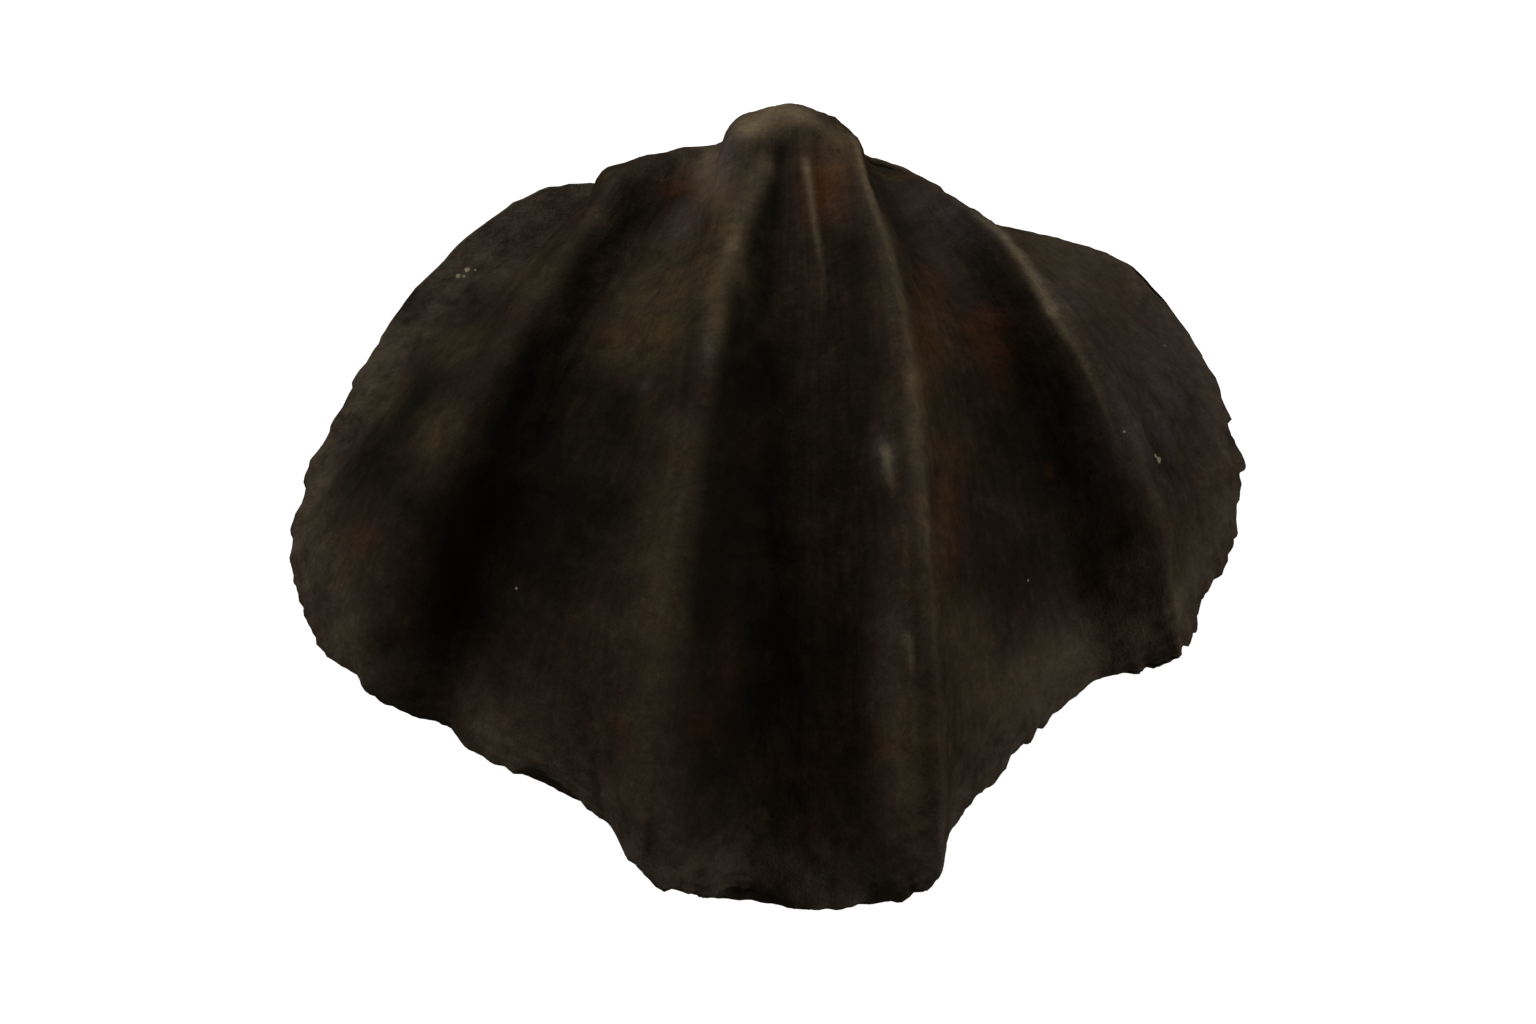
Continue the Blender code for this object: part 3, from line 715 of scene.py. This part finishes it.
def stained_calcite(grains):
    """Shell calcite stained by shale and iron.

    It gives the eye a matte to waxy skin mottled in browns, with crests worn pale and dusty and
    painted highlight on them, painted light along the margin and painted shade in the furrows.
    """
    material = bpy.data.materials.new("stained_shell_calcite")
    material.use_nodes = True
    tree = material.node_tree
    shader = tree.nodes["Principled BSDF"]
    place = add_node(tree, "ShaderNodeTexCoord").outputs["Object"]

    def noise_of(size_mm, detail=3.0, rough=0.55, seed=0.0, warp=0.0):
        moved = add_node(tree, "ShaderNodeMapping", links={"Vector": place},
                         values={"Location": (seed, seed * 0.7, -seed)}).outputs[0]
        values = {"Scale": 1000.0 / size_mm, "Detail": detail, "Roughness": rough, "Distortion": warp}
        return add_node(tree, "ShaderNodeTexNoise", values, {"Vector": moved}).outputs["Fac"]

    def mask(name):
        return add_node(tree, "ShaderNodeAttribute", attribute_name=name).outputs["Fac"]

    def mix(factor, below, above, blend="MIX"):
        node = add_node(tree, "ShaderNodeMix", data_type="RGBA", blend_type=blend)
        for index, value in ((0, factor), (6, below), (7, above)):
            socket = node.inputs[index]
            if isinstance(value, (int, float, tuple)):
                socket.default_value = value
            else:
                tree.links.new(value, socket)
        return node.outputs[2]

    def maths(kind, first, second, clamp=False):
        node = add_node(tree, "ShaderNodeMath", operation=kind, use_clamp=clamp)
        for socket, value in zip(node.inputs, (first, second)):
            if isinstance(value, (int, float)):
                socket.default_value = value
            else:
                tree.links.new(value, socket)
        return node.outputs[0]

    def ragged(name, size_mm, seed):
        """A stain broken into flecks by noise."""
        flecks = grey(noise_of(size_mm, 5.0, 0.65, seed, 0.4), (0.36, 0.3), (0.64, 1.35))
        return maths("MULTIPLY", mask(name), flecks, clamp=True)

    def tint(factor, code):
        return mix(factor, colour, linear(code))

    def grey(source, *stops):
        return add_ramp(tree, source, stops)

    # shale stain in soft clouds 5 mm wide, broken up by flecks under 1 mm
    broad = add_ramp(tree, noise_of(5.0, 5.0, 0.6, 1.3, 0.8), [
        (0.30, "#242119"), (0.45, "#372d22"), (0.58, "#47392b"), (0.72, "#5c4b37")])
    fine = add_ramp(tree, noise_of(0.9, 6.0, 0.68, 4.1, 0.5), [
        (0.32, "#1e1c14"), (0.47, "#3a3023"), (0.58, "#513f2c"), (0.72, "#7f6645")])
    colour = mix(0.38, broad, fine)
    # iron red, olive and violet-grey tinges
    colour = tint(grey(noise_of(2.2, 6.0, 0.68, 5.9, 0.6), (0.50, 0.0), (0.68, 0.42)), "#4a2b1a")
    colour = tint(grey(noise_of(2.7, 5.0, 0.62, 8.3, 0.6), (0.50, 0.0), (0.68, 0.5)), "#2c2b1a")
    colour = tint(grey(noise_of(3.7, 4.0, 0.6, 2.7, 0.6), (0.56, 0.0), (0.74, 0.4)), "#453a38")
    # streaks of the calcite fibres, running from the beak to the margin
    fan = add_node(tree, "ShaderNodeCombineXYZ", links={
        "X": mask("fan_x"), "Y": mask("fan_y"), "Z": mask("growth")}).outputs[0]
    fibres = add_node(tree, "ShaderNodeTexNoise", links={"Vector": fan},
                      values={"Scale": 1.0, "Detail": 3.0, "Roughness": 0.6}).outputs["Fac"]
    colour = mix(1.0, colour, grey(fibres, (0.30, 0.72), (0.50, 1.0), (0.70, 1.3)), "MULTIPLY")
    # stains in their places, among them painted shade, painted light and painted sheen
    uneven = grey(noise_of(1.8, 5.0, 0.6, 3.9, 0.4), (0.35, 0.70), (0.60, 0.97))
    # painted shade: the shade mask darkens the furrows and hollows, partly dark stain
    colour = tint(maths("MULTIPLY", mask("shade"), uneven), "#18160f")
    # slate grey, partly the stone's own tone and partly painted sheen
    colour = tint(maths("MULTIPLY", ragged("slate_and_sheen", 1.4, 2.2), 0.6), "#70676a")
    # ochre stain, partly painted light on the beak's top and the lit slopes
    colour = tint(maths("MULTIPLY", ragged("ochre_and_light", 1.1, 7.7), 0.68), "#7f6b4a")
    colour = tint(maths("MULTIPLY", ragged("rust", 1.2, 5.1), 0.62), "#704020")
    soft = grey(noise_of(0.7, 4.0, 0.6, 6.3), (0.35, 0.55), (0.65, 1.0))
    # pale crests: partly worn calcite, partly painted highlight, glint and light on the beak's top
    colour = tint(maths("MULTIPLY", mask("crest"), maths("MULTIPLY", soft, 0.75)), "#b39d78")
    # painted light along the margin, with some wear of the edge
    colour = tint(maths("MULTIPLY", ragged("rim", 1.3, 4.4), 0.55), "#7c6f5e")
    # grain of the calcite, 0.12 mm, and crumbs of 0.3 mm
    grain = noise_of(0.12, 2.0, 0.6, 9.0)
    colour = mix(1.0, colour, grey(grain, (0.25, 0.84), (0.5, 1.0), (0.78, 1.20)), "MULTIPLY")
    crumb = noise_of(0.3, 3.0, 0.7, 11.0)
    colour = mix(1.0, colour, grey(crumb, (0.28, 0.82), (0.5, 1.0), (0.75, 1.22)), "MULTIPLY")
    # larger grains of clean calcite in their places
    white = None
    for spot, radius in grains:
        apart = add_node(tree, "ShaderNodeVectorMath", operation="DISTANCE",
                         values={1: spot}, links={0: place}).outputs["Value"]
        edge = maths("MULTIPLY", apart, 1000.0 / radius)
        edge = maths("ADD", edge, maths("MULTIPLY", grain, 1.2))
        inside = grey(maths("MULTIPLY", edge, 0.5), (0.62, 1.0), (0.85, 0.0))
        white = inside if white is None else maths("MAXIMUM", white, inside)
    colour = tint(white, "#c9bb9c")
    tree.links.new(colour, shader.inputs["Base Color"])

    # rougher where the shade mask lies (dark stain and painted shade), smoother on the slate-grey
    # places, and shiny only on the pale, partly worn crests
    roughness = grey(noise_of(2.2, 4.0, 0.6, 3.3), (0.3, 0.55), (0.7, 0.75))
    roughness = maths("ADD", roughness, maths("MULTIPLY", mask("shade"), 0.2))
    roughness = maths("SUBTRACT", roughness, maths("MULTIPLY", mask("slate_and_sheen"), 0.12))
    tree.links.new(roughness, shader.inputs["Roughness"])
    shader.inputs["IOR"].default_value = 1.5
    gleam = maths("ADD", maths("MULTIPLY", mask("crest"), 0.4), 0.11)
    tree.links.new(gleam, shader.inputs["Specular IOR Level"])

    # growth threads, fibres, grain and pores as bump
    wavy = maths("ADD", mask("growth"), maths("MULTIPLY", noise_of(1.5, 3.0, 0.6, 6.0), 0.6))
    thread = add_node(tree, "ShaderNodeMath", operation="SINE", links={
        0: maths("MULTIPLY", wavy, 2 * math.pi / THREAD)}).outputs[0]
    pores = add_node(tree, "ShaderNodeTexVoronoi", {"Scale": 1000.0 / PORE_SPACING}, {"Vector": place})
    pore = grey(pores.outputs["Distance"], (0.0, 0.0), (0.30, 1.0))
    height = maths("ADD", maths("MULTIPLY", thread, 0.03), maths("MULTIPLY", grain, 0.9))
    height = maths("ADD", height, maths("MULTIPLY", pore, 0.30))
    height = maths("ADD", height, maths("MULTIPLY", crumb, 2.0))
    height = maths("ADD", height, maths("MULTIPLY", fibres, 1.2))
    bump = add_node(tree, "ShaderNodeBump", links={"Height": height},
                    values={"Strength": 0.6, "Distance": BUMP_HEIGHT})
    tree.links.new(bump.outputs[0], shader.inputs["Normal"])
    return material


def ball_places(mesh, rings, columns):
    """Ring and column of the grid for each vertex of a ball with that many rings and segments."""
    place = np.empty(len(mesh.vertices) * 3)
    mesh.vertices.foreach_get("co", place)
    place = place.reshape(-1, 3)
    turn = (np.pi / 2 - np.arctan2(place[:, 1], place[:, 0])) % (2 * np.pi)
    column = np.round(turn / (2 * np.pi) * columns).astype(int) % columns
    ring = np.round(np.arccos(np.clip(place[:, 2], -1, 1)) / np.pi * rings).astype(int)
    return ring, column


def stain_layers(seen, arc, t, bend, shown):
    """Where stains and painted light, sheen and shade lie, 0 to 1, and the coordinates the fibres
    follow.
    """
    a, b = seen
    fan = t[None] / len(MARGIN) * 2 * np.pi + 0 * arc
    # crests lighter by how sharply they bend: partly wear, partly painted light on the ribs
    worn_and_lit = np.clip(bend * 0.3 - 0.12, 0, 0.35)
    crests = sum(along_line(a, b, *line) for line in PALE_WEAR_AND_GLINTS)
    furrows = sum(along_line(a, b, *line) for line in SHADE) + patches(a, b, DARK_STAIN_AND_SHADE)
    return {
        "ochre_and_light": patches(a, b, OCHRE_STAIN_AND_LIGHT) * shown,
        "rust": patches(a, b, RUST) * shown,
        "slate_and_sheen": patches(a, b, SLATE_GREY_AND_SHEEN) * shown,
        "crest": np.clip(crests * shown + worn_and_lit * (1 - 0.7 * shown), 0, 1),
        # painted shade in the furrows, partly dark stain; elsewhere painted shade, darker in hollows
        "shade": np.clip(furrows * shown + (1 - shown) * np.clip(-bend, 0, 0.5), 0, 1),
        # painted light along the margin, with some wear of the edge
        "rim": np.exp(-(arc / 2.8) ** 2),
        "growth": arc * FIBRE_RUN,
        "fan_x": np.cos(fan) * FIBRE_TURN,
        "fan_y": np.sin(fan) * FIBRE_TURN,
    }


class FOSSIL_OT_add_shell(bpy.types.Operator):
    """Add the closed shell, both valves and their rock filling in one piece"""

    bl_idname = "fossil.add_shell"
    bl_label = "Add Shell"
    bl_options = {"REGISTER", "UNDO"}

    def execute(self, context):
        settings, view = context.scene.fossil_shell, context.scene.fossil_stage
        grid, t = shell_grid(settings.width)
        arc = arc_from_margin(grid)
        grid = rounded(grid, arc, as_seen(grid, view))
        normal = grid_normals(grid)
        upper = (np.arange(grid.shape[0]) <= UPPER_RINGS)[:, None].astype(float)
        a, b = seen = as_seen(grid, view)
        height = relief(grid, normal, arc, upper, seen, settings)
        rest = smooth_step(0.05, 0.6, grid[..., 2])
        height[0] = height[0].mean()
        height[-1] = height[-1].mean()
        bend = bend_across(grid, normal)
        reach = np.where(upper > 0, UPPER_BREAK, LOWER_BREAK)
        broken = broken_margin(grid, seen)[None] * np.exp(-(arc / reach) ** 2)
        moved = normal * (height * rest)[..., None]
        grid = grid + moved + outward(grid)[None] * (broken * rest)[..., None]
        shown = upper * smooth_step(-0.2, 0.3, normal[..., 2])
        grains = []
        for across, up, radius in GRAINS:
            away = np.where(shown > 0.5, np.hypot(a - across, b - up), 1e9)
            grains.append((tuple(grid.reshape(-1, 3)[away.argmin()] * 0.001), radius))

        bpy.ops.object.select_all(action="DESELECT")
        rings, columns = grid.shape[0] - 1, grid.shape[1]
        bpy.ops.mesh.primitive_uv_sphere_add(segments=columns, ring_count=rings, radius=1.0)
        shell = context.active_object
        mesh = shell.data
        ring, column = ball_places(mesh, rings, columns)
        mesh.vertices.foreach_set("co", (grid[ring, column] * 0.001).ravel())
        mesh.update()
        for name, values in stain_layers(seen, arc, t, bend, shown).items():
            put_attribute(mesh, name, values[ring, column])
        bpy.ops.object.shade_smooth()
        mesh.materials.clear()
        mesh.materials.append(stained_calcite(grains))
        shell.name = "brachiopod_shell"
        mesh.name = "brachiopod_shell"
        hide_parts("brachiopod_fossil")
        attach(shell, "root")
        return {"FINISHED"}


# ---------------------------------------------------------------- the stage

TABLE_SIZE = 3.0        # in metres, as are all sizes and places from here on
LAMP_SIZE = 0.22
LAMPS_AIM = (0, 0, 0.008)
# Name, place, share of the left lamp's power and colour of each lamp.
LAMPS = [
    ("left_lamp", (-0.48, 0.10, 0.26), 1.0, (1.0, 0.95, 0.89)),
    ("right_lamp", (0.45, -0.18, 0.18), 0.85, (1.0, 0.96, 0.93)),
    ("beak_lamp", (-0.05, 0.50, 0.22), 1.0, (1.0, 0.96, 0.90)),
]
AIM_RIGHT = 0.00005     # how far the camera aims to the right of the shell's middle and above it
AIM_UP = 0.00023
SENSOR = 36.0           # width in mm of the camera's sensor


def opal_table(settings):
    """Opal acrylic lit from below: gives the eye an even white without grain."""
    material = bpy.data.materials.new("opal_acrylic")
    material.use_nodes = True
    shader = material.node_tree.nodes["Principled BSDF"]
    shader.inputs["Base Color"].default_value = linear("#e9e8e4")
    shader.inputs["Roughness"].default_value = 0.6
    shader.inputs["Emission Color"].default_value = (1.0, 1.0, 1.0, 1.0)
    shader.inputs["Emission Strength"].default_value = settings.table_glow
    return material


def aim(thing, place, target):
    """Put a lamp or a camera in its place and turn it to a target."""
    thing.location = place
    thing.rotation_euler = (Vector(target) - Vector(place)).to_track_quat("-Z", "Y").to_euler()


def add_lamp(name, place, power, colour):
    """Soft round lamp aimed at the shell."""
    lamp = bpy.data.lights.new(name, "AREA")
    lamp.shape = "DISK"
    lamp.size = LAMP_SIZE
    lamp.energy = power
    lamp.color = colour
    thing = bpy.data.objects.new(name, lamp)
    bpy.context.scene.collection.objects.link(thing)
    aim(thing, place, LAMPS_AIM)


class FOSSIL_OT_add_stage(bpy.types.Operator):
    """Add the table, the room's light, the lamps and the camera"""

    bl_idname = "fossil.add_stage"
    bl_label = "Add Stage"
    bl_options = {"REGISTER", "UNDO"}

    def execute(self, context):
        settings = context.scene.fossil_stage
        scene = context.scene
        bpy.ops.object.select_all(action="DESELECT")
        bpy.ops.mesh.primitive_plane_add(size=TABLE_SIZE, location=(0, 0, 0))
        table = context.active_object
        table.name = "table_top"
        table.data.materials.append(opal_table(settings))
        table.visible_diffuse = False
        table.visible_glossy = False

        world = bpy.data.worlds.new("studio_room")
        world.use_nodes = True
        tree = world.node_tree
        way = add_node(tree, "ShaderNodeTexCoord").outputs["Generated"]
        height = add_node(tree, "ShaderNodeSeparateXYZ", links={0: way}).outputs["Z"]
        tone = add_ramp(tree, height, [(0.0, 0.35), (0.3, 0.55), (0.6, 0.6), (1.0, 0.7)])
        tree.links.new(tone, tree.nodes["Background"].inputs["Color"])
        tree.nodes["Background"].inputs["Strength"].default_value = settings.room_light
        scene.world = world

        for name, place, share, colour in LAMPS:
            add_lamp(name, place, settings.key_power * share, colour)

        lift = math.radians(settings.camera_lift)
        upwards = Vector((0, math.sin(lift), math.cos(lift)))
        backwards = Vector((0, -math.cos(lift), math.sin(lift)))
        target = Vector((AIM_RIGHT, 0.0, EYE_LEVEL * 0.001)) + upwards * AIM_UP
        lens = bpy.data.cameras.new("camera")
        lens.sensor_width = SENSOR
        lens.lens = SENSOR * settings.camera_distance / settings.frame_width
        lens.clip_start = 0.01
        camera = bpy.data.objects.new("camera", lens)
        scene.collection.objects.link(camera)
        aim(camera, target + backwards * settings.camera_distance, target)
        scene.camera = camera
        scene.view_settings.view_transform = "Standard"
        return {"FINISHED"}


class VIEW3D_PT_fossil(bpy.types.Panel):
    """Sizes, lights and the two steps"""

    bl_label = "Brachiopod Fossil"
    bl_idname = "VIEW3D_PT_fossil"
    bl_space_type = "VIEW_3D"
    bl_region_type = "UI"
    bl_category = "Fossil"

    def draw(self, context):
        layout = self.layout
        layout.operator("fossil.add_shell")
        for name in ("width", "growth_step", "wear"):
            layout.prop(context.scene.fossil_shell, name)
        layout.operator("fossil.add_stage")
        for name in ("camera_lift", "camera_distance", "frame_width", "room_light", "key_power",
                     "table_glow"):
            layout.prop(context.scene.fossil_stage, name)


CLASSES = (
    FossilShellSettings, FossilStageSettings, FOSSIL_OT_add_shell, FOSSIL_OT_add_stage,
    VIEW3D_PT_fossil,
)


def register():
    for item in CLASSES:
        bpy.utils.register_class(item)
    bpy.types.Scene.fossil_shell = bpy.props.PointerProperty(type=FossilShellSettings)
    bpy.types.Scene.fossil_stage = bpy.props.PointerProperty(type=FossilStageSettings)


def unregister():
    del bpy.types.Scene.fossil_stage
    del bpy.types.Scene.fossil_shell
    for item in reversed(CLASSES):
        bpy.utils.unregister_class(item)


def main():
    """Build the dressed shell and its stage."""
    register()
    bpy.ops.fossil.add_shell()
    bpy.ops.fossil.add_stage()


if __name__ == "__main__":
    main()
